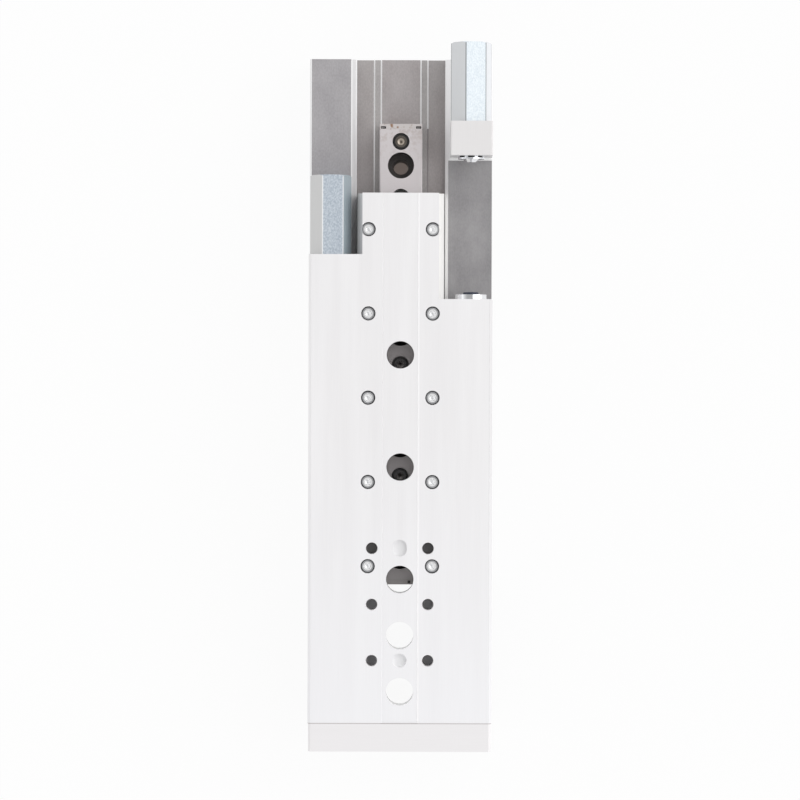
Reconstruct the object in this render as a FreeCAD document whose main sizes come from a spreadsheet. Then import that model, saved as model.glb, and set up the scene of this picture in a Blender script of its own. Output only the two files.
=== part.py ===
import FreeCAD, Part
import os
import Sketcher

# Twin-piston pneumatic mini slide, drawn half extended.
# X points right, Y to the rear, Z up; the origin is the middle of the housing's underside.

Vector = FreeCAD.Vector
Rotation = FreeCAD.Rotation

doc = FreeCAD.newDocument("mini_slide")
sheet = doc.addObject("Spreadsheet::Sheet", "sizes")

SIZES = [
    # housing extrusion
    ("housing_width", 65.5),
    ("housing_length", 189.0),
    ("land_top", 24.5),
    ("edge_break", 0.6),
    ("channel_width", 31.8),
    ("channel_slope", 2.1),
    ("channel_floor", 20.0),
    ("shoulder_width", 19.8),
    ("seat_width", 14.8),
    ("seat_step", 0.5),
    ("recess_depth", 1.0),
    ("groove_radius", 2.0),
    ("groove_mouth", 2.8),
    ("groove_inset", 2.2),
    ("groove_drop", 3.7),
    # mounting holes of the housing
    ("mount_hole", 5.5),
    ("mount_head", 9.5),
    ("mount_spot_deep", 1.0),
    ("mount_first", 10.5),
    ("mount_pitch", 40.0),
    ("mount_last", 60.0),
    ("dowel_hole", 5.0),
    ("dowel_deep", 5.0),
    ("dowel_first", 30.5),
    ("dowel_pitch", 40.0),
    # cylinders
    ("bore_dia", 16.0),
    ("bore_inset", 10.75),
    ("bore_height", 11.5),
    ("bore_spare", 4.0),
    ("rod_dia", 8.0),
    ("bush_zone", 20.0),
    ("bush_inset", 3.0),
    ("piston_length", 20.0),
    ("piston_spare", 4.0),
    ("piston_gap", 0.4),
    ("running_gap", 0.05),
    ("ring_thick", 1.2),
    ("ring_inset", 1.6),
    ("ring_bite", 0.55),
    ("ring_slack", 0.05),
    ("ring_reach", 1.6),
    ("fit_slip", 0.03),
    ("magnet_sunk", 0.2),
    ("wiper_wide", 2.8),
    ("o_ring_first", 7.0),
    ("o_ring_wide", 2.0),
    ("o_ring_lift", 0.4),
    ("rod_seal_back", 1.5),
    ("rod_seal_wide", 3.2),
    ("neck_dia", 5.0),
    ("neck_short", 0.5),
    ("drill_dia", 3.0),
    ("port_dia", 4.2),
    ("port_deep", 8.0),
    ("port_wall", 4.0),
    ("port_drop", 2.5),
    ("plug_dia", 5.0),
    ("plug_long", 2.2),
    ("plug_sink", 0.2),
    ("drill_over", 0.8),
    ("drill_in", 1.8),
    # travel
    ("extension", 48.8),
    ("closed_gap", 2.3),
    ("stroke", 80.0),
    # guide
    ("rail_width", 15.3),
    ("rail_height", 9.0),
    ("rail_length", 165.1),
    ("rail_setback", 0.3),
    ("rail_hole", 9.4),
    ("rail_pitch", 20.0),
    ("rail_first", 6.3),
    ("rail_edge", 0.4),
    ("cap_thick", 2.0),
    ("window_long", 0.9),
    ("window_wide", 1.8),
    ("window_x", 6.3),
    ("window_inset", 1.3),
    ("window_deep", 1.5),
    ("cap_slack", 0.05),
    ("peg_dia", 2.5),
    ("peg_rise", 2.5),
    ("peg_deep", 2.25),
    ("peg_spare", 0.1),
    ("peg_root", 0.5),
    ("peg_slack", 0.02),
    ("ball_dia", 3.0),
    ("ball_rise", 4.5),
    ("ball_pitch", 8.0),
    ("cage_length", 96.0),
    ("cage_thick", 0.6),
    ("cage_tall", 5.0),
    ("cage_space", 1.0),
    ("cage_centre", -24.0),
    ("channel_room", 0.4),
    ("channel_lift", 0.7),
    ("rail_clear", 0.6),
    ("channel_web", 3.4),
    ("channel_long", 143.7),
    ("channel_first", 13.0),
    ("channel_pitch", 30.0),
    ("channel_row_inset", 4.05),
    # slide
    ("slide_web", 6.0),
    ("wing_gap", 1.1),
    ("slide_edge", 1.0),
    ("top_groove", 12.8),
    ("top_groove_deep", 0.2),
    ("side_gap", 0.1),
    ("groove_end", 0.3),
    ("nose_inset", 1.85),
    ("left_notch", 21.9),
    ("right_notch", 37.8),
    ("wing_wall", 12.0),
    ("pocket_width", 12.4),
    ("pocket_wall", 1.45),
    ("pocket_clear", 1.0),
    ("pocket_spare", 1.5),
    ("access_hole", 9.8),
    ("access_first", 11.3),
    ("access_pitch", 20.0),
    ("thread_hole", 4.2),
    ("thread_deep", 8.0),
    ("thread_row", 10.0),
    ("thread_first", 22.4),
    ("thread_pitch", 20.0),
    ("pin_hole", 5.0),
    ("pin_deep", 2.0),
    ("pin_slot", 6.0),
    # yoke
    ("yoke_short", 0.5),
    ("yoke_thick", 10.0),
    ("yoke_base", 1.0),
    ("yoke_edge", 0.8),
    ("yoke_screw_gap", 8.3),
    ("yoke_screw_inset", 4.85),
    ("yoke_screw_drop", 7.2),
    ("face_thread_gap", 20.0),
    # stops
    ("stop_inset", 7.65),
    ("stop_drop", 7.75),
    ("stop_dia", 8.0),
    ("sleeve_flats", 13.0),
    ("sleeve_length", 28.4),
    ("sleeve_turn_right", 14.0),
    ("sleeve_turn_left", 8.0),
    ("sleeve_corner", 7.54),
    ("sleeve_bevel", 0.5),
    ("sleeve_face", 6.7),
    ("screw_inset", 6.5),
    ("screw_lead", 0.4),
    ("socket_deep", 5.0),
    ("pin_slack", 0.02),
    ("pin_proud", 2.2),
    ("tip_dia", 6.4),
    ("tip_flat", 3.6),
    ("tip_cone", 1.32),
    ("shank_dia", 4.0),
    ("shank_long", 7.0),
    ("shank_spare", 0.3),
    ("block_length", 12.2),
    ("block_width", 15.05),
    ("block_edge", 0.5),
    ("block_screw_gap", 6.4),
    ("block_grip", 10.5),
    ("block_bite", 3.1),
    ("counter_length", 16.0),
    ("counter_width", 11.6),
    ("counter_over", 4.95),
    ("counter_screw_gap", 6.2),
    ("counter_sink", 4.2),
    ("counter_screw_y", 4.5),
    ("counter_bite", 3.8),
    ("holder_dia", 11.3),
    ("holder_rim", 1.75),
    ("holder_shank", 6.0),
    ("holder_long", 8.0),
    ("buffer_dia", 5.6),
    ("buffer_proud", 0.85),
    ("buffer_seat", 1.2),
    ("buffer_edge", 0.3),
    # cap screws: head diameter, head height, shank, wrench size
    ("screw25_head", 4.5),
    ("screw25_tall", 2.5),
    ("screw25_shank", 2.5),
    ("screw25_key", 2.0),
    ("screw25_sink", 3.7),
    ("screw25_bite", 6.5),
    ("screw3_head", 5.5),
    ("screw3_tall", 3.0),
    ("screw3_shank", 3.0),
    ("screw3_key", 2.5),
    ("screw3_sunk", 3.3),
    ("screw3_long", 14.5),
    ("screw4_head", 7.0),
    ("screw4_tall", 4.0),
    ("screw4_shank", 4.0),
    ("screw4_key", 3.0),
    ("screw4_long", 16.0),
    ("screw4_bite", 12.0),
    ("screw5_head", 8.5),
    ("screw5_tall", 5.0),
    ("screw5_shank", 5.0),
    ("screw5_key", 4.0),
    ("screw5_long", 17.0),
    ("screw5_spare", 1.0),
    ("head_room", 0.3),
    ("head_sink", 0.4),
    ("hole_room", 0.4),
    ("thread_room", 0.05),
    ("tap_spare", 0.5),
]


class Dim:
    """A size that carries both its sheet expression and its present value."""

    def __init__(self, text, value):
        self.text = text
        self.value = value

    def __add__(self, other):
        other = as_dim(other)
        return Dim("(%s + %s)" % (self.text, other.text), self.value + other.value)

    def __sub__(self, other):
        other = as_dim(other)
        return Dim("(%s - %s)" % (self.text, other.text), self.value - other.value)

    def __mul__(self, other):
        other = as_dim(other)
        return Dim("(%s * %s)" % (self.text, other.text), self.value * other.value)

    def __truediv__(self, other):
        other = as_dim(other)
        return Dim("(%s / %s)" % (self.text, other.text), self.value / other.value)

    def __neg__(self):
        return Dim("(0 - %s)" % self.text, -self.value)

    __radd__ = __add__
    __rmul__ = __mul__

    def __rsub__(self, other):
        return as_dim(other) - self


def as_dim(number):
    if isinstance(number, Dim):
        return number
    return Dim("(%s)" % repr(float(number)), float(number))


class Sizes:
    """Every cell of the sheet as an attribute of the same name."""


for row, (alias, number) in enumerate(SIZES, start=1):
    sheet.set("A%d" % row, alias)
    sheet.set("B%d" % row, repr(number))
    sheet.setAlias("B%d" % row, alias)
doc.recompute()

s = Sizes()
for alias, _ in SIZES:
    setattr(s, alias, Dim("sizes." + alias, float(sheet.get(alias))))

nodes = {}
ALONG_X = Rotation(Vector(0, 1, 0), 90)
ALONG_Y = Rotation(Vector(1, 0, 0), -90)
ALONG_Z = Rotation()
REACH = 5.0
OVER = 1.0


# Small builders: each binds its sizes to the sheet.

def bind(thing, prop, size):
    thing.setExpression(prop, as_dim(size).text)


def place(thing, x, y, z, turn=ALONG_Z):
    thing.Placement = FreeCAD.Placement(Vector(0, 0, 0), turn)
    bind(thing, "Placement.Base.x", x)
    bind(thing, "Placement.Base.y", y)
    bind(thing, "Placement.Base.z", z)
    return thing


def box(x0, x1, y0, y1, z0, z1):
    thing = doc.addObject("Part::Box", "block_shape")
    bind(thing, "Length", as_dim(x1) - x0)
    bind(thing, "Width", as_dim(y1) - y0)
    bind(thing, "Height", as_dim(z1) - z0)
    return place(thing, x0, y0, z0)


def rod(radius, length, x, y, z, turn):
    thing = doc.addObject("Part::Cylinder", "round_shape")
    bind(thing, "Radius", radius)
    bind(thing, "Height", length)
    return place(thing, x, y, z, turn)


def rod_x(radius, x0, x1, y, z):
    return rod(radius, as_dim(x1) - x0, x0, y, z, ALONG_X)


def rod_y(radius, y0, y1, x, z):
    return rod(radius, as_dim(y1) - y0, x, y0, z, ALONG_Y)


def rod_z(radius, z0, z1, x, y):
    return rod(radius, as_dim(z1) - z0, x, y, z0, ALONG_Z)


def hexagon(flats, length, x, y, z, turn):
    thing = doc.addObject("Part::Prism", "hexagon_shape")
    thing.Polygon = 6
    bind(thing, "Circumradius", flats / 3 ** 0.5)
    bind(thing, "Height", length)
    return place(thing, x, y, z, turn)


def fuse(pieces):
    thing = doc.addObject("Part::MultiFuse", "joined_shape")
    thing.Shapes = pieces
    return thing


def cut(base, tools):
    for i in range(0, len(tools), 8):
        batch = tools[i:i + 8]
        thing = doc.addObject("Part::Cut", "cut_shape")
        thing.Base = base
        thing.Tool = batch[0] if len(batch) == 1 else fuse(batch)
        base = thing
    return base


def common(base, tool):
    thing = doc.addObject("Part::Common", "shared_shape")
    thing.Base = base
    thing.Tool = tool
    return thing


def outline(body, role, points):
    """A closed sketch whose every corner is held by two bound dimensions."""
    sketch = body.newObject("Sketcher::SketchObject", "outline")
    plane = [item for item in body.Origin.OriginFeatures if item.Role == role][0]
    sketch.AttachmentSupport = [(plane, "")]
    sketch.MapMode = "FlatFace"
    corners = [(as_dim(u), as_dim(v)) for u, v in points]
    count = len(corners)
    for i in range(count):
        u0, v0 = corners[i]
        u1, v1 = corners[(i + 1) % count]
        line = Part.LineSegment(Vector(u0.value, v0.value, 0), Vector(u1.value, v1.value, 0))
        sketch.addGeometry(line, False)
    for i in range(count):
        sketch.addConstraint(Sketcher.Constraint("Coincident", i, 2, (i + 1) % count, 1))
    for i, (u, v) in enumerate(corners):
        across = sketch.addConstraint(Sketcher.Constraint("DistanceX", -1, 1, i, 1, u.value))
        sketch.setExpression("Constraints[%d]" % across, u.text)
        upward = sketch.addConstraint(Sketcher.Constraint("DistanceY", -1, 1, i, 1, v.value))
        sketch.setExpression("Constraints[%d]" % upward, v.text)
    return sketch


def extruded(points, y0, y1):
    """A cross-section in X and Z, drawn out along Y."""
    body = doc.addObject("PartDesign::Body", "extruded_body")
    sketch = outline(body, "XZ_Plane", points)
    pad = body.newObject("PartDesign::Pad", "drawn_out")
    pad.Profile = sketch
    pad.Midplane = True
    bind(pad, "Length", as_dim(y1) - y0)
    bind(body, "Placement.Base.y", (as_dim(y0) + y1) / 2)
    return body


def turned(points, x, z):
    """A half section (radius, Y) turned about a line along Y."""
    body = doc.addObject("PartDesign::Body", "turned_body")
    sketch = outline(body, "XY_Plane", points)
    spin = body.newObject("PartDesign::Revolution", "spin")
    spin.Profile = sketch
    spin.ReferenceAxis = (sketch, ["V_Axis"])
    spin.Angle = 360.0
    bind(body, "Placement.Base.x", x)
    bind(body, "Placement.Base.z", z)
    return body


def ring(inner, outer, y0, y1, x, z):
    return turned([(inner, y0), (outer, y0), (outer, y1), (inner, y1)], x, z)


def node(name, thing):
    thing.Label = name
    nodes[name] = thing
    return thing


def cap_screw(head, tall, shank, key, length):
    """A socket screw on Z with its head's seat at zero."""
    top = rod_z(head / 2, 0, tall, 0, 0)
    stem = rod_z(shank / 2 - s.thread_room, -length, 0, 0, 0)
    socket = hexagon(key, tall, 0, 0, tall / 2, ALONG_Z)
    return cut(fuse([top, stem]), [socket])


def group(name, template, places):
    """Equal pieces as separate solids of one node, at the given placements."""
    doc.recompute()
    copies = []
    for spot, turn in places:
        copy = template.Shape.copy()
        where = Vector(*[as_dim(number).value for number in spot])
        copy.Placement = FreeCAD.Placement(where, turn).multiply(copy.Placement)
        copies.append(copy)
    thing = doc.addObject("Part::Feature", "equal_pieces")
    thing.Shape = Part.makeCompound(copies)
    return node(name, thing)


def mirrored(points):
    """The right half of a section followed by its left half."""
    return points + [(-u, v) for u, v in reversed(points)]


# Lines that several pieces share.

half = s.housing_width / 2
front = -s.housing_length / 2
rear = s.housing_length / 2
slide_front = front - s.extension
slide_rear = slide_front + s.housing_length
left_face = slide_rear - s.left_notch
right_face = slide_rear - s.right_notch
travel_in = s.extension - s.closed_gap
travel_out = s.stroke - travel_in

seat_top = s.channel_floor + s.seat_step * 2
rail_top = seat_top + s.rail_height
rail_front = front + s.rail_setback
rail_rear = rail_front + s.rail_length
channel_front = slide_rear - s.channel_long
channel_base = s.channel_floor + s.channel_lift
channel_roof = rail_top + s.rail_clear
channel_top = channel_roof + s.channel_web
slide_top = channel_top + s.slide_web
wing_base = s.land_top + s.wing_gap
arm_half = s.channel_width / 2 - s.channel_room
arm_inner = s.rail_width / 2 + s.cage_space
channel_row = arm_half - s.channel_row_inset
nose_half = arm_half - s.nose_inset
screw25_seat = slide_top - s.screw25_sink
screw25_end = channel_top - s.screw25_bite

stop_x = half - s.stop_inset
stop_height = slide_top - s.stop_drop
block_inner = half - s.block_width
block_seat = s.land_top - s.block_grip
block_thread = s.land_top + s.block_bite
counter_top = stop_height + s.counter_over
counter_seat = counter_top - s.counter_sink
counter_end = s.land_top - s.counter_bite

right_tip = right_face + s.holder_rim + s.buffer_proud + travel_in
block_front = right_tip + s.pin_proud
block_rear = block_front + s.block_length
left_wall = left_face - s.wing_wall
left_tip = left_wall - s.pin_proud
counter_rear = left_tip - travel_out - s.buffer_proud - s.holder_rim
counter_front = counter_rear - s.counter_length

bore_x = half - s.bore_inset
port_x = bore_x - s.bore_dia / 2 - s.port_wall
port_height = s.bore_height - s.port_drop
ring_front = front + s.ring_inset
bush_front = front + s.bush_inset
bush_end = front + s.bush_zone
piston_front = bush_end + s.piston_spare + travel_out
piston_rear = piston_front + s.piston_length
bore_end = piston_rear + travel_in + s.bore_spare
front_drill = bush_end + s.drill_in
rear_drill = bore_end - s.drill_in

mount_spots = [front + s.mount_first + s.mount_pitch * i for i in range(3)]
mount_spots.append(mount_spots[2] + s.mount_last)
rail_spots = [rail_rear - s.rail_first - s.rail_pitch * i for i in range(8)]
access_spots = [slide_front + s.access_first + s.access_pitch * i for i in (0, 1, 2, 4, 6)]
channel_spots = [slide_rear - s.channel_first - s.channel_pitch * i for i in range(5)]
thread_spots = [slide_front + s.thread_first + s.thread_pitch * i for i in range(3)]
yoke_screw_out = half - s.yoke_screw_inset
yoke_screw_in = yoke_screw_out - s.yoke_screw_gap
yoke_screw_height = slide_top - s.yoke_screw_drop
ball_height = seat_top + s.ball_rise
ball_x = s.rail_width / 2 + s.cage_space / 2
ball_room = s.ball_dia / 2 + s.running_gap
SIDES = ((-1, "left"), (1, "right"))


# Housing: extruded section, then bored, drilled and milled.

groove_height = s.land_top - s.groove_drop
section = mirrored([
    (half - s.edge_break, 0),
    (half, s.edge_break),
    (half, s.land_top - s.edge_break),
    (half - s.edge_break, s.land_top),
    (s.channel_width / 2 + s.channel_slope, s.land_top),
    (s.channel_width / 2, s.land_top - s.channel_slope),
    (s.channel_width / 2, s.channel_floor),
    (s.shoulder_width / 2, s.channel_floor),
    (s.shoulder_width / 2 - s.seat_step, s.channel_floor + s.seat_step),
    (s.seat_width / 2, s.channel_floor + s.seat_step),
    (s.seat_width / 2 - s.seat_step, seat_top),
])
LONG_DRILL = 0.45
housing_cuts = []
for side, _ in SIDES:
    x = bore_x * side
    housing_cuts.append(rod_y(s.bore_dia / 2, front - REACH, bore_end, x, s.bore_height))
    ring_low = ring_front - s.ring_slack
    ring_high = ring_front + s.ring_thick + s.ring_slack
    housing_cuts.append(rod_y(s.bore_dia / 2 + s.ring_bite, ring_low, ring_high, x, s.bore_height))
    slot_x = (half - s.groove_inset) * side
    housing_cuts.append(rod_y(s.groove_radius, front - REACH, rear + REACH, slot_x, groove_height))
    mouth_low = groove_height - s.groove_mouth / 2
    mouth = (slot_x, (half + REACH) * side)
    inner, outer = (mouth[1], mouth[0]) if side < 0 else mouth
    housing_cuts.append(box(inner, outer, front - REACH, rear + REACH,
                            mouth_low, mouth_low + s.groove_mouth))
    drill_end = rear_drill if side > 0 else front_drill
    port = port_x * side
    housing_cuts.append(rod_y(s.port_dia / 2, rear - s.port_deep, rear + REACH, port, port_height))
    housing_cuts.append(rod_y(s.drill_dia * LONG_DRILL, drill_end - s.drill_over, rear, port, port_height))
    wall = half * side
    far = -x
    low, high = (wall - REACH, far) if side < 0 else (far, wall + REACH)
    housing_cuts.append(rod_x(s.drill_dia / 2, low, high, drill_end, port_height))
    deep = wall - (s.plug_long + s.plug_sink) * side
    low, high = (wall - REACH, deep) if side < 0 else (deep, wall + REACH)
    housing_cuts.append(rod_x(s.plug_dia / 2, low, high, drill_end, port_height))
for y in mount_spots:
    housing_cuts.append(rod_z(s.mount_hole / 2, -REACH, s.land_top, 0, y))
    housing_cuts.append(rod_z(s.mount_head / 2, seat_top - s.mount_spot_deep, s.land_top, 0, y))
for i in range(2):
    y = front + s.dowel_first + s.dowel_pitch * i
    housing_cuts.append(rod_z(s.dowel_hole / 2, -REACH, s.dowel_deep, 0, y))
screw3_base = rail_top - s.screw3_sunk - s.screw3_long
for y in rail_spots:
    housing_cuts.append(rod_z(s.screw3_shank / 2, screw3_base - s.tap_spare, s.land_top, 0, y))
block_mid = (block_front + block_rear) / 2
block_screws = [block_mid - s.block_screw_gap / 2, block_mid + s.block_screw_gap / 2]
for y in block_screws:
    housing_cuts.append(rod_z((s.screw3_shank + s.hole_room) / 2, -REACH, s.land_top + OVER, stop_x, y))
    housing_cuts.append(rod_z((s.screw3_head + s.head_room * 2) / 2, -REACH, block_seat, stop_x, y))
counter_screw_y = counter_front + s.counter_screw_y
counter_screws = [-stop_x - s.counter_screw_gap / 2, -stop_x + s.counter_screw_gap / 2]
for x in counter_screws:
    housing_cuts.append(rod_z(s.screw3_shank / 2, counter_end - s.tap_spare, s.land_top + OVER, x,
                              counter_screw_y))

# The right land is milled lower in front of the stop block, with a sloping end.
recess_low = s.land_top - s.recess_depth
recess = doc.addObject("PartDesign::Body", "recess_body")
recess_sketch = outline(recess, "YZ_Plane", [
    (front - REACH, recess_low),
    (block_front - s.recess_depth, recess_low),
    (block_front + REACH, s.land_top + REACH),
    (front - REACH, s.land_top + REACH),
])
recess_pad = recess.newObject("PartDesign::Pad", "recess_width")
recess_pad.Profile = recess_sketch
bind(recess_pad, "Length", half)
bind(recess, "Placement.Base.x", s.channel_width / 2)
housing_cuts.append(recess)
node("housing", cut(extruded(section, front, rear), housing_cuts))

# Guide rail: ground bar with a ball track on each side.

bar_front = rail_front + s.cap_thick
bar_rear = rail_rear - s.cap_thick
bar_half = s.rail_width / 2
bar = extruded(mirrored([
    (bar_half, seat_top),
    (bar_half, rail_top - s.rail_edge),
    (bar_half - s.rail_edge, rail_top),
]), bar_front, bar_rear)
bar_cuts = []
for side, _ in SIDES:
    bar_cuts.append(rod_y(ball_room, bar_front - OVER, bar_rear + OVER, ball_x * side, ball_height))
for y in rail_spots:
    bar_cuts.append(rod_z((s.screw3_shank + s.hole_room) / 2, seat_top - OVER, rail_top, 0, y))
    bar_cuts.append(rod_z(s.screw3_head / 2 + s.head_room, rail_top - s.screw3_sunk, rail_top + OVER, 0, y))
for y in mount_spots:
    bar_cuts.append(rod_z(s.rail_hole / 2, seat_top - OVER, rail_top + OVER, 0, y))
peg_height = seat_top + s.peg_rise
for y0, y1 in ((bar_front - OVER, bar_front + s.peg_deep), (bar_rear - s.peg_deep, bar_rear + OVER)):
    bar_cuts.append(rod_y(s.peg_dia / 2 + s.peg_slack, y0, y1, 0, peg_height))
node("guide_rail", cut(bar, bar_cuts))

screw3 = cap_screw(s.screw3_head, s.screw3_tall, s.screw3_shank, s.screw3_key, s.screw3_long)
seat = rail_top - s.screw3_sunk
group("rail_screws", screw3, [((0, y, seat), ALONG_Z) for y in rail_spots])


def end_cap(name, y0, y1, peg0, peg1, window_y):
    plate_half = bar_half - s.cap_slack
    plate = box(-plate_half, plate_half, y0, y1, seat_top, rail_top - s.cap_slack)
    peg = rod_y(s.peg_dia / 2, peg0, peg1, 0, peg_height)
    windows = []
    for side, _ in SIDES:
        x0 = s.window_x * side - s.window_wide / 2
        windows.append(box(x0, x0 + s.window_wide, window_y - s.window_long / 2,
                           window_y + s.window_long / 2, rail_top - s.window_deep, rail_top + OVER))
    node(name, cut(fuse([plate, peg]), windows))


peg_long = s.peg_deep - s.peg_spare
end_cap("rail_end_cap_rear", bar_rear, rail_rear, bar_rear - peg_long, bar_rear + s.peg_root,
        rail_rear - s.window_inset)
end_cap("rail_end_cap_front", rail_front, bar_front, bar_front - s.peg_root, bar_front + peg_long,
        rail_front + s.window_inset)

# Ball cages: thin strips that carry the balls between rail and channel.

ball_count = 12
ball_start = s.cage_centre - s.ball_pitch * (ball_count - 1) / 2
cage_low = ball_height - s.cage_tall / 2
ball = doc.addObject("Part::Sphere", "ball_shape")
bind(ball, "Radius", s.ball_dia / 2)
for side, label in SIDES:
    x0 = ball_x * side - s.cage_thick / 2
    strip = box(x0, x0 + s.cage_thick, s.cage_centre - s.cage_length / 2,
                s.cage_centre + s.cage_length / 2, cage_low, cage_low + s.cage_tall)
    spots = [ball_start + s.ball_pitch * i for i in range(ball_count)]
    holes = [rod_x(ball_room, x0 - OVER, x0 + s.cage_thick + OVER, y, ball_height) for y in spots]
    node(label + "_ball_cage", cut(strip, holes))
    group(label + "_balls", ball, [((ball_x * side, y, ball_height), ALONG_Z) for y in spots])

# Guide channel: U section screwed under the slide.

channel = extruded([
    (arm_inner, channel_base),
    (arm_half, channel_base),
    (arm_half, channel_top),
    (-arm_half, channel_top),
    (-arm_half, channel_base),
    (-arm_inner, channel_base),
    (-arm_inner, channel_roof),
    (arm_inner, channel_roof),
], channel_front, slide_rear)
channel_cuts = []
for side, _ in SIDES:
    track = ball_x * side
    channel_cuts.append(rod_y(ball_room, channel_front - OVER, slide_rear + OVER, track, ball_height))
    for y in channel_spots:
        channel_cuts.append(rod_z(s.screw25_shank / 2, screw25_end - s.tap_spare, channel_top + OVER,
                                  channel_row * side, y))
for y in access_spots[2:]:
    channel_cuts.append(rod_z(s.access_hole / 2, channel_roof - OVER, channel_top + OVER, 0, y))
node("guide_channel", cut(channel, channel_cuts))

# Slide: plate grooved for the channel and the rail, with a nose between two notches and a hollow left wing.

groove_half = arm_half + s.side_gap
groove_front = channel_front - s.groove_end
top_half = s.top_groove / 2
plate = extruded([
    (half, wing_base),
    (half, slide_top - s.slide_edge),
    (half - s.slide_edge, slide_top),
    (top_half, slide_top),
    (top_half - s.top_groove_deep, slide_top - s.top_groove_deep),
    (s.top_groove_deep - top_half, slide_top - s.top_groove_deep),
    (-top_half, slide_top),
    (s.slide_edge - half, slide_top),
    (-half, slide_top - s.slide_edge),
    (-half, wing_base),
], slide_front, slide_rear)
above = slide_top + REACH
below = wing_base - REACH
slide_cuts = [
    box(-groove_half, groove_half, groove_front, slide_rear + REACH, below, channel_top),
    box(-arm_inner, arm_inner, slide_front - REACH, slide_rear, below, channel_roof),
    box(-half - REACH, -nose_half, left_face, slide_rear + REACH, below, above),
    box(nose_half, half + REACH, right_face, slide_rear + REACH, below, above),
    rod_y(s.stop_dia / 2, left_wall - REACH, left_face + REACH, -stop_x, stop_height),
    rod_y(s.holder_shank / 2, right_face - s.holder_long - OVER, right_face + REACH, stop_x, stop_height),
]
pocket_front = counter_front - travel_in - s.pocket_spare
pocket_outer = half - s.pocket_wall
pocket_inner = pocket_outer - s.pocket_width
pocket_roof = counter_top + s.pocket_clear
slide_cuts.append(box(-pocket_outer, -pocket_inner, pocket_front, left_wall, below, pocket_roof))
for y in access_spots:
    slide_cuts.append(rod_z(s.access_hole / 2, rail_top, above, 0, y))
for side, _ in SIDES:
    for y in channel_spots:
        x = channel_row * side
        slide_cuts.append(rod_z((s.screw25_shank + s.hole_room) / 2, channel_top - OVER, above, x, y))
        slide_cuts.append(rod_z(s.screw25_head / 2 + s.head_room, screw25_seat, above, x, y))
    for y in thread_spots:
        slide_cuts.append(rod_z(s.thread_hole / 2, slide_top - s.thread_deep, above, s.thread_row * side, y))
    for x in (yoke_screw_in, yoke_screw_out):
        slide_cuts.append(rod_y(s.screw4_shank / 2, slide_front - REACH, slide_front + s.screw4_bite,
                                x * side, yoke_screw_height))
pin_floor = slide_top - s.top_groove_deep - s.pin_deep
slide_cuts.append(rod_z(s.pin_hole / 2, pin_floor, above, 0, thread_spots[0]))
slot_reach = (s.pin_slot - s.pin_hole) / 2
for end in (-slot_reach, slot_reach):
    slide_cuts.append(rod_z(s.pin_hole / 2, pin_floor, above, 0, thread_spots[2] + end))
slide_cuts.append(box(-s.pin_hole / 2, s.pin_hole / 2, thread_spots[2] - slot_reach,
                      thread_spots[2] + slot_reach, pin_floor, above))
node("slide", cut(plate, slide_cuts))

screw25 = cap_screw(s.screw25_head, s.screw25_tall, s.screw25_shank, s.screw25_key,
                    screw25_seat - screw25_end)
channel_places = []
for side, _ in SIDES:
    for y in channel_spots:
        channel_places.append(((channel_row * side, y, screw25_seat), ALONG_Z))
group("channel_screws", screw25, channel_places)

# Yoke: front plate that ties the slide to both piston rods.

yoke_front = slide_front - s.yoke_thick
yoke_half = half - s.yoke_short / 2
yoke = extruded(mirrored([
    (yoke_half - s.yoke_edge, s.yoke_base),
    (yoke_half, s.yoke_base + s.yoke_edge),
    (yoke_half, slide_top - s.yoke_edge),
    (yoke_half - s.yoke_edge, slide_top),
]), yoke_front, slide_front)
yoke_mid = (s.yoke_base + slide_top) / 2
yoke_cuts = []
yoke_places = []
rod_places = []
HEAD_FORWARD = Rotation(Vector(1, 0, 0), 90)
seat4 = yoke_front + s.screw4_tall + s.head_sink
seat5 = yoke_front + s.screw5_tall + s.head_sink
for side, _ in SIDES:
    for offset in (yoke_screw_in, yoke_screw_out):
        x = offset * side
        height = yoke_screw_height
        yoke_cuts.append(rod_y((s.screw4_head + s.head_room) / 2, yoke_front - OVER, seat4, x, height))
        shank_r = (s.screw4_shank + s.hole_room) / 2
        yoke_cuts.append(rod_y(shank_r, yoke_front, slide_front + OVER, x, height))
        yoke_places.append(((x, seat4, height), HEAD_FORWARD))
    x = bore_x * side
    yoke_cuts.append(rod_y(s.screw5_head / 2 + s.head_room, yoke_front - OVER, seat5, x, s.bore_height))
    shank_r = (s.screw5_shank + s.hole_room) / 2
    yoke_cuts.append(rod_y(shank_r, yoke_front, slide_front + OVER, x, s.bore_height))
    rod_places.append(((x, seat5, s.bore_height), HEAD_FORWARD))
    for i in range(2):
        height = yoke_mid + s.face_thread_gap * (i - 0.5)
        yoke_cuts.append(rod_y(s.thread_hole / 2, yoke_front - OVER, slide_front + OVER,
                               s.thread_row * side, height))
node("yoke_plate", cut(yoke, yoke_cuts))
screw4 = cap_screw(s.screw4_head, s.screw4_tall, s.screw4_shank, s.screw4_key, s.screw4_long)
group("yoke_screws", screw4, yoke_places)
screw5 = cap_screw(s.screw5_head, s.screw5_tall, s.screw5_shank, s.screw5_key, s.screw5_long)
group("rod_screws", screw5, rod_places)

# Rods, pistons and their rings, and the front bushes with their seals.

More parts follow.
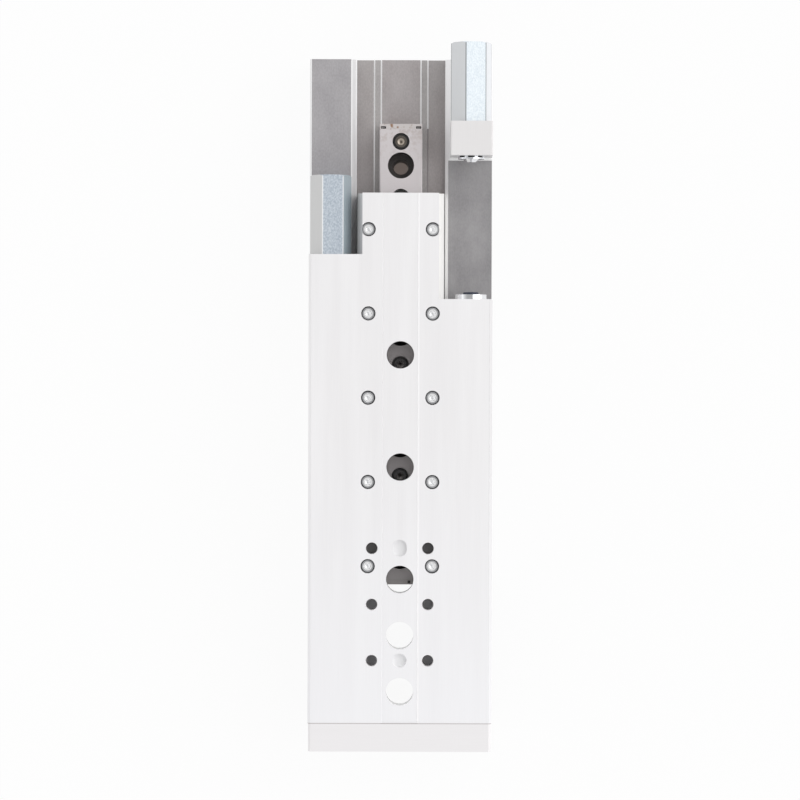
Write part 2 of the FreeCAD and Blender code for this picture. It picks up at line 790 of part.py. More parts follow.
# Each groove of a piston: start and end as shares of its length, floor as a share of the bore.
PISTON_GROOVES = (
    (0.10, 0.22, 0.70),
    (0.32, 0.52, 0.65),
    (0.60, 0.73, 0.86),
    (0.78, 0.90, 0.70),
)
BUSH_GROOVE = 0.78
bore_r = s.bore_dia / 2
rod_r = s.rod_dia / 2
neck_r = s.neck_dia / 2
tap_end = seat5 + s.screw5_long + s.screw5_spare
body_r = bore_r - s.piston_gap
lip = bore_r - s.running_gap
inner = rod_r + s.running_gap
outer = bore_r - s.fit_slip
slip = s.fit_slip
groove = bore_r * BUSH_GROOVE
o_ring_floor = groove + s.o_ring_lift
o_ring_front = bush_front + s.o_ring_first
o_ring_rear = o_ring_front + s.o_ring_wide
seal_rear = bush_end - s.rod_seal_back
seal_front = seal_rear - s.rod_seal_wide
wiper_rear = bush_front + s.wiper_wide
for side, label in SIDES:
    x = bore_x * side
    z = s.bore_height
    node(label + "_piston_rod", turned([
        (s.screw5_shank / 2, slide_front),
        (rod_r, slide_front),
        (rod_r, piston_front),
        (neck_r, piston_front),
        (neck_r, piston_rear - s.neck_short),
        (0, piston_rear - s.neck_short),
        (0, tap_end),
        (s.screw5_shank / 2, tap_end),
    ], x, z))
    grooves = []
    shape = [(neck_r + slip, piston_front), (body_r, piston_front)]
    for start, end, floor in PISTON_GROOVES:
        y0 = piston_front + s.piston_length * start
        y1 = piston_front + s.piston_length * end
        floor_r = bore_r * floor
        shape += [(body_r, y0), (floor_r, y0), (floor_r, y1), (body_r, y1)]
        grooves.append((floor_r + slip, y0 + slip, y1 - slip))
    shape.append((body_r, piston_rear))
    shape.append((neck_r + slip, piston_rear))
    node(label + "_piston", turned(shape, x, z))
    seals = [ring(floor, lip, y0, y1, x, z) for floor, y0, y1 in (grooves[0], grooves[3])]
    group(label + "_piston_seals", fuse(seals), [((0, 0, 0), ALONG_Z)])
    floor, y0, y1 = grooves[1]
    node(label + "_piston_magnet", ring(floor, body_r - s.magnet_sunk, y0, y1, x, z))
    floor, y0, y1 = grooves[2]
    node(label + "_wear_ring", ring(floor, lip, y0, y1, x, z))
    node(label + "_rod_bush", turned([
        (groove, bush_front),
        (outer, bush_front),
        (outer, o_ring_front),
        (o_ring_floor, o_ring_front),
        (o_ring_floor, o_ring_rear),
        (outer, o_ring_rear),
        (outer, bush_end),
        (inner, bush_end),
        (inner, seal_rear),
        (groove, seal_rear),
        (groove, seal_front),
        (inner, seal_front),
        (inner, wiper_rear),
        (groove, wiper_rear),
    ], x, z))
    node(label + "_rod_seal", ring(inner, groove - slip, seal_front + slip, seal_rear - slip, x, z))
    node(label + "_rod_wiper", ring(inner, groove - slip, bush_front + slip, wiper_rear - slip, x, z))
bush_rings = [ring(o_ring_floor + slip, outer, o_ring_front + slip, o_ring_rear - slip,
                   bore_x * side, s.bore_height) for side, _ in SIDES]
group("bush_o_rings", fuse(bush_rings), [((0, 0, 0), ALONG_Z)])
snap_rings = [ring(rod_r + s.ring_reach, bore_r + s.ring_bite - s.ring_slack, ring_front,
                   ring_front + s.ring_thick, bore_x * side, s.bore_height) for side, _ in SIDES]
group("retaining_rings", fuse(snap_rings), [((0, 0, 0), ALONG_Z)])

plug_body = rod_z(s.plug_dia / 2 - s.thread_room, -s.plug_long, 0, 0, 0)
plug = cut(plug_body, [hexagon(s.screw3_key, s.plug_long, 0, 0, -s.plug_long / 2, ALONG_Z)])
wall = half - s.plug_sink
TO_LEFT = Rotation(Vector(0, 1, 0), -90)
group("passage_plugs", plug, [
    ((-wall, front_drill, port_height), TO_LEFT),
    ((wall, rear_drill, port_height), ALONG_X),
])

# Right stop: block on the land, hexagon sleeve, stop screw and its pin.

block = extruded([
    (block_inner, s.land_top),
    (half, s.land_top),
    (half, slide_top - s.block_edge),
    (half - s.block_edge, slide_top),
    (block_inner + s.block_edge, slide_top),
    (block_inner, slide_top - s.block_edge),
], block_front, block_rear)
block_cuts = [rod_y(s.stop_dia / 2, block_front - OVER, block_rear + OVER, stop_x, stop_height)]
for y in block_screws:
    block_cuts.append(rod_z(s.screw3_shank / 2, s.land_top - OVER, block_thread, stop_x, y))
node("stop_block", cut(block, block_cuts))
HEAD_DOWN = Rotation(Vector(1, 0, 0), 180)
block_screw = cap_screw(s.screw3_head, s.screw3_tall, s.screw3_shank, s.screw3_key,
                        block_thread - block_seat - s.tap_spare)
block_places = [((stop_x, y, block_seat), HEAD_DOWN) for y in block_screws]
group("stop_block_screws", block_screw, block_places)


def lock_sleeve(name, x, y0, turn):
    y1 = y0 + s.sleeve_length
    tilt = Rotation(Vector(0, 1, 0), turn.value).multiply(ALONG_Y)
    bar = hexagon(s.sleeve_flats, s.sleeve_length, x, y0, stop_height, tilt)
    hull = turned([
        (s.stop_dia / 2, y0),
        (s.sleeve_corner, y0),
        (s.sleeve_corner, y1 - s.sleeve_bevel),
        (s.sleeve_face, y1),
        (s.stop_dia / 2, y1),
    ], x, stop_height)
    node(name, common(bar, hull))


def stop_screw(label, x, y0, y1):
    body = rod_y(s.stop_dia / 2 - s.running_gap, y0, y1, x, stop_height)
    socket = hexagon(s.screw5_key, s.socket_deep, x, y1 - s.socket_deep, stop_height, ALONG_Y)
    shank_r = s.shank_dia / 2
    hole_end = y0 + s.shank_long + s.shank_spare
    shank = rod_y(shank_r + s.running_gap, y0 - OVER, hole_end, x, stop_height)
    node(label + "_stop_screw", cut(body, [socket, shank]))
    tip = y0 - s.screw_lead - s.pin_proud
    node(label + "_stop_pin", turned([
        (0, tip),
        (s.tip_flat / 2, tip),
        (s.tip_dia / 2, tip + s.tip_cone),
        (s.tip_dia / 2, y0 - s.pin_slack),
        (shank_r, y0 - s.pin_slack),
        (shank_r, y0 + s.shank_long),
        (0, y0 + s.shank_long),
    ], x, stop_height))


lock_sleeve("right_lock_sleeve", stop_x, block_rear, s.sleeve_turn_right)
lock_sleeve("left_lock_sleeve", -stop_x, left_face, s.sleeve_turn_left)
stop_screw("right", stop_x, block_front + s.screw_lead, block_rear + s.sleeve_length - s.screw_inset)
stop_screw("left", -stop_x, left_wall + s.screw_lead, left_face + s.sleeve_length - s.screw_inset)

# Counter stops: a buffer in a round holder, on the slide and on a block under it.


def counter_stop(label, x, y):
    rim = rod_y(s.holder_dia / 2, y, y + s.holder_rim, x, stop_height)
    stem = rod_y(s.holder_shank / 2 - s.thread_room, y - s.holder_long, y + s.buffer_edge, x, stop_height)
    top = y + s.holder_rim
    cup = rod_y(s.buffer_dia / 2 + s.running_gap, top - s.buffer_seat, top + OVER, x, stop_height)
    node(label + "_buffer_holder", cut(fuse([rim, stem]), [cup]))
    tip = top + s.buffer_proud
    node(label + "_buffer", turned([
        (0, top - s.buffer_seat),
        (s.buffer_dia / 2, top - s.buffer_seat),
        (s.buffer_dia / 2, tip - s.buffer_edge),
        (s.buffer_dia / 2 - s.buffer_edge, tip),
        (0, tip),
    ], x, stop_height))


counter_stop("right", stop_x, right_face)
counter_stop("left", -stop_x, counter_rear)
counter = box(-stop_x - s.counter_width / 2, -stop_x + s.counter_width / 2,
              counter_front, counter_rear, s.land_top, counter_top)
counter_bore = counter_rear - s.holder_long - s.tap_spare
counter_cuts = [rod_y(s.holder_shank / 2, counter_bore, counter_rear + OVER, -stop_x, stop_height)]
for x in counter_screws:
    shank_r = (s.screw3_shank + s.hole_room) / 2
    head_r = (s.screw3_head + s.head_room) / 2
    counter_cuts.append(rod_z(shank_r, s.land_top - OVER, counter_top, x, counter_screw_y))
    counter_cuts.append(rod_z(head_r, counter_seat, counter_top + OVER, x, counter_screw_y))
node("counter_stop_block", cut(counter, counter_cuts))
counter_screw = cap_screw(s.screw3_head, s.screw3_tall, s.screw3_shank, s.screw3_key,
                          counter_seat - counter_end)
group("counter_stop_screws", counter_screw,
      [((x, counter_screw_y, counter_seat), ALONG_Z) for x in counter_screws])

# Every piece is checked, then written as its own file.

doc.recompute()
problems = []
for thing in doc.Objects:
    if "Invalid" in thing.State or "Error" in thing.State:
        problems.append("%s %s" % (thing.Label, thing.State))
for name, thing in nodes.items():
    if thing.Shape.isNull() or not thing.Shape.isValid():
        problems.append("%s has no valid shape" % name)
if problems:
    raise RuntimeError("; ".join(problems))
os.makedirs("parts", exist_ok=True)
for name, thing in nodes.items():
    thing.Shape.exportStep(os.path.join("parts", name + ".step"))
    print(name, len(thing.Shape.Solids), round(thing.Shape.Volume, 1))
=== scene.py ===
import math

import bpy
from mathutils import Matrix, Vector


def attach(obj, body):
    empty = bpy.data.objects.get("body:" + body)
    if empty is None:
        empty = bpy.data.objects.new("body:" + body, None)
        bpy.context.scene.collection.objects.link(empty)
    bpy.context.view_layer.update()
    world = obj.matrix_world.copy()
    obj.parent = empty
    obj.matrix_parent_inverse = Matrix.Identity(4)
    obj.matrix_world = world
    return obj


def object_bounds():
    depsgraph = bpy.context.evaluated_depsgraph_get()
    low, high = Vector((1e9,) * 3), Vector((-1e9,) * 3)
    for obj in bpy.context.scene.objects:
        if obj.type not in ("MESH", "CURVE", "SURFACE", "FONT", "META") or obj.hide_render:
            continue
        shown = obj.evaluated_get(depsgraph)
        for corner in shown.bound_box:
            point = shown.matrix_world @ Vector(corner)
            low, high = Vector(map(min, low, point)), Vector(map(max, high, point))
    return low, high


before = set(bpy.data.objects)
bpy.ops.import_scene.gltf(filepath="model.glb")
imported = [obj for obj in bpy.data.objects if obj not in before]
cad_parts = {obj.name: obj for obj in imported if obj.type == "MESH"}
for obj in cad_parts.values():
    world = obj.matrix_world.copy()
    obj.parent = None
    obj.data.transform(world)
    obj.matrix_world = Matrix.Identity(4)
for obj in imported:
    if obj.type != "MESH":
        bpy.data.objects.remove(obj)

cad_low, cad_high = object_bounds()


# Cylinder housing: a block of aluminium with two bores, milled on top for the
# guide and the stops, then anodised. The milled faces have come out greyer
# than the slopes, which are painted as pale strips with painted highlights on
# their edges. Painted shade darkens the inner step edges under the slide and
# the floors of the spot faces.
class Line:
    """A value running through a material's nodes; sums done with it add Math nodes."""

    def __init__(self, finish, socket):
        self.finish = finish
        self.socket = socket

    def math(self, operation, *values):
        return self.finish.node("ShaderNodeMath", {"operation": operation}, dict(enumerate(values)))

    def __add__(self, other):
        return self.math("ADD", self, other)

    def __radd__(self, other):
        return self.math("ADD", other, self)

    def __sub__(self, other):
        return self.math("SUBTRACT", self, other)

    def __rsub__(self, other):
        return self.math("SUBTRACT", other, self)

    def __mul__(self, other):
        return self.math("MULTIPLY", self, other)

    def __rmul__(self, other):
        return self.math("MULTIPLY", other, self)

    def __abs__(self):
        return self.math("ABSOLUTE", self)

    def root(self):
        return self.math("SQRT", self)

    def repeat(self, pitch):
        return self.math("WRAP", self, pitch * 0.5, pitch * -0.5)

    def above(self, limit):
        return self.math("GREATER_THAN", self, limit)

    def below(self, limit):
        return self.math("LESS_THAN", self, limit)

    def between(self, low, high):
        return self.above(low) * self.below(high)

    def rise(self, low, high):
        sides = {"Value": self, "From Min": low, "From Max": high}
        return self.finish.node("ShaderNodeMapRange", {"clamp": True}, sides)


class Finish:
    """A surface finish: one material, with the place and facing of each point to hand."""

    relief_height = 0.00002

    def __init__(self, name, metal, rough):
        self.material = bpy.data.materials.new(name)
        self.material.use_nodes = True
        self.tree = self.material.node_tree
        self.shader = self.tree.nodes["Principled BSDF"]
        self.shader.inputs["Metallic"].default_value = metal
        self.shader.inputs["Roughness"].default_value = rough
        self.spot = self.node("ShaderNodeTexCoord", output="Object")

    def node(self, kind, settings=None, inputs=None, output=0):
        made = self.tree.nodes.new(kind)
        for key, value in (settings or {}).items():
            setattr(made, key, value)
        for key, value in (inputs or {}).items():
            self.join(value, made.inputs[key])
        return Line(self, made.outputs[output])

    def join(self, value, socket):
        if isinstance(value, Line):
            self.tree.links.new(value.socket, socket)
        else:
            socket.default_value = value

    def feed(self, name, value):
        self.join(value, self.shader.inputs[name])

    def parts(self, vector):
        split = self.tree.nodes.new("ShaderNodeSeparateXYZ")
        self.join(vector, split.inputs[0])
        return [Line(self, socket) for socket in split.outputs]

    def facing(self):
        return self.parts(self.node("ShaderNodeTexCoord", output="Normal"))

    def mix(self, amount, first, second, blend="MIX"):
        """Blends two colours, which a Mix node takes at 6 and 7 and gives back at 2."""
        settings = {"data_type": "RGBA", "blend_type": blend}
        return self.node("ShaderNodeMix", settings, {0: amount, 6: first, 7: second}, 2)

    def grain(self, stretch, scale, detail=3.0):
        lines = self.node("ShaderNodeMapping", None, {"Vector": self.spot, "Scale": stretch})
        return self.node("ShaderNodeTexNoise", None, {"Vector": lines, "Scale": scale, "Detail": detail})

    def settle(self, colour, grain, depth, relief):
        """Lays the grain on the colour, as a darkening of that depth and as a slight relief."""
        shade = (1.0 - depth, 1.0 - depth, 1.0 - depth, 1.0)
        self.feed("Base Color", self.mix(grain, colour, shade, "MULTIPLY"))
        bump = {"Strength": relief, "Distance": self.relief_height, "Height": grain}
        self.feed("Normal", self.node("ShaderNodeBump", None, bump))


def tone(red, green, blue):
    """A colour given from 0 to 255, as the linear value that a shader takes."""
    linear = []
    for part in (red, green, blue):
        part = part / 255.0
        linear.append(part / 12.92 if part <= 0.04045 else ((part + 0.055) / 1.055) ** 2.4)
    return (*linear, 1.0)


def paint(finish, *names):
    """Puts a finish on every slot of the named CAD nodes."""
    for name in names:
        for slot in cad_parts[name].material_slots:
            slot.material = finish.material


along_slide = (1.0, 0.02, 1.0)
even = (1.0, 1.0, 1.0)
flat_up = 0.9
tilted_up = 0.3
half_turned = 0.5
channel_half = 0.0159
shoulder_half = 0.0099
seat_half = 0.0074
floor_dark_from = 0.050
floor_dark_to = 0.092
spot_face_top = 0.0203
spot_face_half = 0.0048
speckle_strength = 0.26
cloud_strength = 0.16
slope_foot = 0.0224
slope_crest = 0.0245
slope_rim = 0.2
step_edge_half = 0.0110
left_shade_from = 0.064
left_shade_to = 0.042
left_shade_strength = 0.6
right_shade_from = 0.0698

housing_finish = Finish("housing_anodised", metal=0.0, rough=0.5)
across, along, height = housing_finish.parts(housing_finish.spot)
aside = abs(across)
rearward, upward = housing_finish.facing()[1:]
land = housing_finish.mix(across.above(0.0), tone(169, 166, 169), tone(148, 146, 148))
floor_dark = along.rise(floor_dark_from, floor_dark_to)
floor_shade = housing_finish.mix(floor_dark, tone(180, 173, 172), tone(174, 168, 167))
milled = housing_finish.mix(aside.below(channel_half), land, floor_shade)
milled = housing_finish.mix(aside.below(shoulder_half), milled, tone(177, 173, 172))
milled = housing_finish.mix(aside.below(seat_half), milled, tone(173, 166, 166))
# Painted shade: the floors of the spot faces are painted dark brown.
spot_face_shade = height.below(spot_face_top) * aside.below(spot_face_half)
milled = housing_finish.mix(spot_face_shade, milled, tone(74, 62, 56))
speckle = housing_finish.grain((1.0, 0.5, 1.0), scale=2200.0, detail=6.0).rise(low=0.35, high=0.65)
milled = housing_finish.mix(speckle * speckle_strength, milled, tone(112, 109, 110))
clouds = housing_finish.grain((1.0, 0.6, 1.0), scale=130.0, detail=4.0).rise(low=0.3, high=0.7)
milled = housing_finish.mix(clouds * cloud_strength, milled, tone(228, 226, 226))
slope_share = height.rise(slope_foot, slope_crest)
# Painted light: the slopes are painted pale, the right one paler against its shade, with painted highlights
# along their edges.
slope_edge_highlight = 1.0 - slope_share.between(slope_rim, 1.0 - slope_rim)
slope_face_light = housing_finish.mix(across.above(0.0), tone(229, 228, 229), tone(253, 252, 253))
slope = housing_finish.mix(slope_edge_highlight, slope_face_light, tone(253, 253, 253))
slope = housing_finish.mix(abs(rearward).above(half_turned), slope, tone(252, 252, 252))
# Painted shade: the inner step edges are painted darker where the slide shades them.
left_edge_shade = along.rise(left_shade_from, left_shade_to) * across.below(0.0) * left_shade_strength
right_edge_shade = along.below(right_shade_from) * across.above(0.0)
shaded_step_edges = (left_edge_shade + right_edge_shade) * aside.below(step_edge_half)
slope = housing_finish.mix(shaded_step_edges, slope, tone(150, 145, 145))
housing_colour = housing_finish.mix(upward.above(flat_up), tone(206, 205, 207), milled)
housing_colour = housing_finish.mix(upward.between(tilted_up, flat_up), housing_colour, slope)
milling_lines = housing_finish.grain(along_slide, scale=2600.0)
housing_finish.settle(housing_colour, milling_lines, depth=0.08, relief=0.15)
paint(housing_finish, "housing")


# Piston rods and pistons: ground and chromed steel rods with aluminium pistons,
# a ferrite ring magnet and rubber seals on each. They run in the two bores, and
# only the rods come into view when the slide is out.
round_rod = (0.05, 1.0, 0.05)

rod_finish = Finish("rod_chrome", metal=1.0, rough=0.16)
rod_grinding = rod_finish.grain(round_rod, scale=3000.0)
rod_finish.settle(tone(214, 216, 219), rod_grinding, depth=0.06, relief=0.05)
paint(rod_finish, "left_piston_rod", "right_piston_rod")
piston_finish = Finish("piston_aluminium", metal=0.9, rough=0.35)
piston_turning = piston_finish.grain(round_rod, scale=2500.0)
piston_finish.settle(tone(205, 205, 207), piston_turning, depth=0.1, relief=0.1)
paint(piston_finish, "left_piston", "right_piston")
magnet_finish = Finish("magnet_ferrite", metal=0.0, rough=0.7)
magnet_finish.settle(tone(52, 51, 53), magnet_finish.grain(even, scale=1500.0), depth=0.25, relief=0.2)
paint(magnet_finish, "left_piston_magnet", "right_piston_magnet")
seal_finish = Finish("seal_rubber", metal=0.0, rough=0.6)
seal_finish.settle(tone(38, 38, 40), seal_finish.grain(even, scale=2200.0), depth=0.2, relief=0.15)
paint(seal_finish, "left_piston_seals", "right_piston_seals", "left_rod_seal", "right_rod_seal")
paint(seal_finish, "left_rod_wiper", "right_rod_wiper", "bush_o_rings")


# Rod bushes, their retaining rings and the passage plugs: turned bronze bushes
# pushed into the bores and held by spring steel rings, with steel plugs that
# close the cross drillings in the housing's sides.
bush_finish = Finish("bush_brass", metal=0.9, rough=0.32)
bush_turning = bush_finish.grain((1.0, 0.1, 1.0), scale=1800.0)
bush_finish.settle(tone(196, 164, 98), bush_turning, depth=0.12, relief=0.1)
paint(bush_finish, "left_rod_bush", "right_rod_bush")
ring_finish = Finish("ring_steel", metal=0.8, rough=0.4)
ring_finish.settle(tone(120, 121, 124), ring_finish.grain(even, scale=1600.0), depth=0.2, relief=0.1)
paint(ring_finish, "retaining_rings", "passage_plugs")


# Guide rail: a hardened and ground steel bar screwed to the housing's seat.
# Its top keeps fine grinding lines along the bar, greyed by painted shade under
# the slide, and a faint brown stain has dried on round the rear screw. The
# counterbore walls are painted dark as shade.
wall_up = 0.2
stain_from = 0.052
stain_to = 0.070
stain_strength = 0.3
under_slide_shade_full = 0.022
under_slide_shade_gone = 0.0445
rail_bore_half = 0.0049
rail_bore_top = 0.0298

rail_finish = Finish("rail_steel", metal=0.08, rough=0.38)
across, along, height = rail_finish.parts(rail_finish.spot)
blotch = rail_finish.grain(even, scale=520.0, detail=4.0).rise(low=0.5, high=0.66)
stain = blotch * along.rise(stain_from, stain_to) * stain_strength
# Painted shade: the top is painted greyer where the slide covers it.
under_slide_shade = 1.0 - along.rise(under_slide_shade_full, under_slide_shade_gone)
ground_top = rail_finish.mix(under_slide_shade, tone(211, 205, 206), tone(174, 169, 169))
rail_colour = rail_finish.mix(stain, ground_top, tone(142, 118, 98))
# Painted shade on the counterbore walls.
bore_wall_shade = abs(across).below(rail_bore_half) * rail_finish.facing()[2].below(wall_up)
rail_colour = rail_finish.mix(bore_wall_shade * height.below(rail_bore_top), rail_colour, tone(84, 82, 82))
rail_grinding = rail_finish.grain(along_slide, scale=3200.0)
rail_finish.settle(rail_colour, rail_grinding, depth=0.05, relief=0.12)
paint(rail_finish, "guide_rail")


# Rail screws: socket head screws of black oxided steel in the bar's
# counterbores, with the drill's cone at the bottom of each socket. The rear
# one, out from under the slide, shows brown steel and is painted lighter as
# lit; the socket floors carry a painted glint and the head rims painted shade.
rail_screw_rear = 0.0646
rail_screw_pitch = 0.020
rail_screw_count = 8
rail_socket_floor = 0.0282
rail_socket_low = 0.0280
rail_socket_high = 0.0285
rail_head_core = 0.0021
brown_and_lit_from = 0.058

black_finish = Finish("black_screws", metal=0.2, rough=0.42)
across, along, height = black_finish.parts(black_finish.spot)
spaced = (along - rail_screw_rear).repeat(rail_screw_pitch)
reach = (across * across + spaced * spaced).root()
# Painted glint: the socket floors are painted lighter.
socket_floor_glint = height.between(rail_socket_low, rail_socket_high) * black_finish.facing()[2].above(flat_up)
oxide = black_finish.mix(socket_floor_glint, tone(74, 72, 73), tone(118, 112, 109))
# The rear screw is brown and is painted lighter as lit, with a bright painted glint on its socket floor.
rear_brown_and_lit = black_finish.mix(socket_floor_glint, tone(92, 85, 78), tone(226, 218, 208))
screw_colour = black_finish.mix(along.above(brown_and_lit_from), oxide, rear_brown_and_lit)
# Painted shade: the rim of each head is painted dark.
screw_colour = black_finish.mix(reach.above(rail_head_core), screw_colour, tone(34, 32, 32))
black_finish.settle(screw_colour, black_finish.grain(even, scale=1400.0), depth=0.3, relief=0.2)
paint(black_finish, "rail_screws")


def socket_point(radius, rim, depth):
    """The cone that the drill leaves at the bottom of a socket, modelled up from z 0."""
    point_sides = 24
    bpy.ops.object.select_all(action="DESELECT")
    bpy.ops.mesh.primitive_cylinder_add(
        vertices=point_sides, radius=radius, depth=rim, location=(0.0, 0.0, rim * 0.5)
    )
    point = bpy.context.object
    bpy.ops.object.transform_apply(location=True, rotation=True, scale=True)
    bpy.ops.object.mode_set(mode="EDIT")
    bpy.ops.mesh.select_mode(type="FACE")
    bpy.ops.mesh.select_all(action="DESELECT")
    bpy.ops.object.mode_set(mode="OBJECT")
    for face in point.data.polygons:
        face.select = face.normal.z > flat_up
    bpy.ops.object.mode_set(mode="EDIT")
    bpy.ops.mesh.poke(offset=-depth)
    bpy.ops.object.mode_set(mode="OBJECT")
    return point


def set_out(model, name, places, turn=(0.0, 0.0, 0.0)):
    """Copies a model to each place, joins the copies as one piece and clears the model away."""
    made = []
    for place in places:
        bpy.ops.object.select_all(action="DESELECT")
        model.select_set(True)
        bpy.context.view_layer.objects.active = model
        bpy.ops.object.duplicate(linked=False)
        piece = bpy.context.object
        piece.rotation_euler = turn
        piece.location = place
        bpy.ops.object.transform_apply(location=True, rotation=True, scale=True)
        made.append(piece)
    bpy.ops.object.select_all(action="DESELECT")
    for piece in made:
        piece.select_set(True)
    bpy.context.view_layer.objects.active = made[0]
    bpy.ops.object.join()
    made[0].name = name
    bpy.data.objects.remove(model, do_unlink=True)
    return made[0]


def dress(piece, finish, body):
    """Gives a new piece its finish in a material slot and the body it moves with."""
    piece.data.materials.clear()
    piece.data.materials.append(finish.material)
    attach(piece, body)


rail_rows = [rail_screw_rear - rail_screw_pitch * number for number in range(rail_screw_count)]
rail_places = [(0.0, row, rail_socket_floor) for row in rail_rows]
rail_point = socket_point(radius=0.00124, rim=0.0007, depth=0.00065)
rail_points = set_out(rail_point, "rail_socket_points", rail_places)
# The rear cone is brown and is painted lighter as lit; the cones under the slide are painted a shaded grey.
brown_and_lit_finish = Finish("brown_and_lit_steel", metal=1.0, rough=0.25)
along = brown_and_lit_finish.parts(brown_and_lit_finish.spot)[1]
brown_and_lit_colour = brown_and_lit_finish.mix(along.above(brown_and_lit_from), tone(150, 146, 144), tone(176, 165, 153))
brown_and_lit_finish.settle(brown_and_lit_colour, brown_and_lit_finish.grain(even, scale=900.0), depth=0.25, relief=0.1)
dress(rail_points, brown_and_lit_finish, "housing")


# Rail end caps: ground steel plates pegged to the two ends of the bar, which
# keep the ball cages on the guide. Each has two small windows with floors
# painted dark as shade, the front cap is painted darker as shaded by the
# slide, and brown specks of rust have come up on the rear one.
across_slide = (0.02, 1.0, 1.0)
caps_middle = -0.01165
window_floor = 0.0295
window_side = 0.0064
window_half = 0.0006
window_row = 0.08125
window_bar_half = 0.0002
rust_strength = 0.6
mark_side = 0.0033
mark_back = -0.0933
mark_half = 0.0005
specks = ((-0.0034, 0.0706, 0.0007), (-0.0033, 0.0700, 0.0006), (-0.0012, 0.0697, 0.0005))
speck_core = 0.4
speck_strength = 0.8

cap_finish = Finish("cap_steel", metal=0.08, rough=0.4)
across, along, height = cap_finish.parts(cap_finish.spot)
# Painted shade: the window floors are painted dark.
window_floor_shade = cap_finish.facing()[2].above(flat_up) * height.below(window_floor)
rust = cap_finish.grain(even, scale=700.0, detail=4.0).rise(low=0.58, high=0.7) * rust_strength
cap_colour = cap_finish.mix(rust, tone(206, 200, 199), tone(150, 122, 96))
beside_window = abs(abs(across) - window_side)
behind_window = abs(abs(along - caps_middle) - window_row)
pale_bar = beside_window.below(window_half) * behind_window.below(window_bar_half)
cap_colour = cap_finish.mix(window_floor_shade, cap_colour, tone(40, 39, 40))
cap_colour = cap_finish.mix(window_floor_shade * pale_bar, cap_colour, tone(214, 212, 212))
# Painted shade: the front cap, under the slide, is painted darker.
cap_colour = cap_finish.mix(along.below(0.0), cap_colour, tone(170, 165, 164))
mark = abs(across - mark_side).below(mark_half) * abs(along - mark_back).below(mark_half)
cap_colour = cap_finish.mix(mark, cap_colour, tone(66, 63, 63))
for side, back, radius in specks:
    from_side = across - side
    from_back = along - back
    reach = (from_side * from_side + from_back * from_back).root()
    speck = (1.0 - reach.rise(radius * speck_core, radius)) * speck_strength
    cap_colour = cap_finish.mix(speck, cap_colour, tone(140, 98, 58))
cap_grinding = cap_finish.grain(across_slide, scale=2600.0)
cap_finish.settle(cap_colour, cap_grinding, depth=0.08, relief=0.12)
paint(cap_finish, "rail_end_cap_rear", "rail_end_cap_front")


# Ball cages and balls: moulded plastic strips with a row of pockets, and a
# bearing ball in each pocket that rolls between the bar and the channel. The
# wear rings on the pistons are of the same plastic.
cage_finish = Finish("cage_plastic", metal=0.0, rough=0.45)
cage_lines = cage_finish.grain(along_slide, scale=1500.0)
cage_finish.settle(tone(186, 160, 104), cage_lines, depth=0.12, relief=0.1)
paint(cage_finish, "left_ball_cage", "right_ball_cage", "left_wear_ring", "right_wear_ring")
ball_finish = Finish("ball_steel", metal=1.0, rough=0.12)
ball_finish.settle(tone(206, 208, 212), ball_finish.grain(even, scale=900.0), depth=0.06, relief=0.02)
paint(ball_finish, "left_balls", "right_balls")


# Guide channel: a ground steel channel, open downwards over the bar, that the
# slide is screwed to. Its two edges show beside the slide's nose, the left one
# painted in shade and the right one and its flank painted light, and its back
# closes the rear pair of tapped holes in the slide, where it is painted darker
# as shade.
edge_dark = -0.0154
edge_pale = -0.0134
right_flank = 0.0130
hole_side = 0.010
rear_row = -0.0809
hole_reach = 0.0027

channel_finish = Finish("channel_steel", metal=0.3, rough=0.4)
across, along = channel_finish.parts(channel_finish.spot)[:2]
rearward, upward = channel_finish.facing()[1:]
# Painted shade on the left edge, beside the sleeve, and painted light on the right edge.
edge_shade = channel_finish.mix(across.rise(edge_dark, edge_pale), tone(160, 162, 163), tone(245, 246, 248))
channel_colour = channel_finish.mix(upward.above(half_turned), tone(200, 200, 200), edge_shade)
# Painted shade: the channel's top at the bottom of the rear tapped holes is painted darker.
hole_end_shade = abs(abs(across) - hole_side).below(hole_reach) * abs(along - rear_row).below(hole_reach)
channel_colour = channel_finish.mix(hole_end_shade, channel_colour, tone(164, 162, 162))
# Painted highlight on the right flank.
right_flank_highlight = abs(rearward).below(half_turned) * across.above(right_flank)
channel_colour = channel_finish.mix(right_flank_highlight, channel_colour, tone(254, 253, 251))
channel_grinding = channel_finish.grain(along_slide, scale=2800.0)
channel_finish.settle(channel_colour, channel_grinding, depth=0.06, relief=0.12)
paint(channel_finish, "guide_channel")


# Slide: milled from extruded aluminium bar and satin anodised. Fine lines run
# along it; the tapped holes, the locating hole and slot and the access holes
# to the housing's fixings are drilled from its top. Painted shade darkens its
# right edge band, its left groove edge, its side walls and the floors of the
# rear tapped holes; painted light whitens the right groove edge, the locating
# recess floors and the access hole walls.
right_bevel = 0.0316
edge_up = 0.95
groove_low = 0.0388
groove_half = 0.0085
line_side = 0.0065
line_half = 0.0003
top_skin = 0.0397
pin_half = 0.0030
pin_front = -0.140
pin_rear = -0.004
wave_strength = 0.5
pale_from = -0.04
pale_to = -0.14
pale_strength = 0.6
seam_rear = -0.14312
access_half = 0.0052
access_rear = -0.0860
rear_hole_shade_top = 0.0394
wing_inner = 0.0140

slide_finish = Finish("slide_anodised", metal=0.0, rough=0.42)
across, along, height = slide_finish.parts(slide_finish.spot)
aside = abs(across)
upward = slide_finish.facing()[2]
# Painted shade: the right edge band is painted darker.
slide_colour = slide_finish.mix(across.above(right_bevel), tone(243, 242, 243), tone(226, 225, 226))
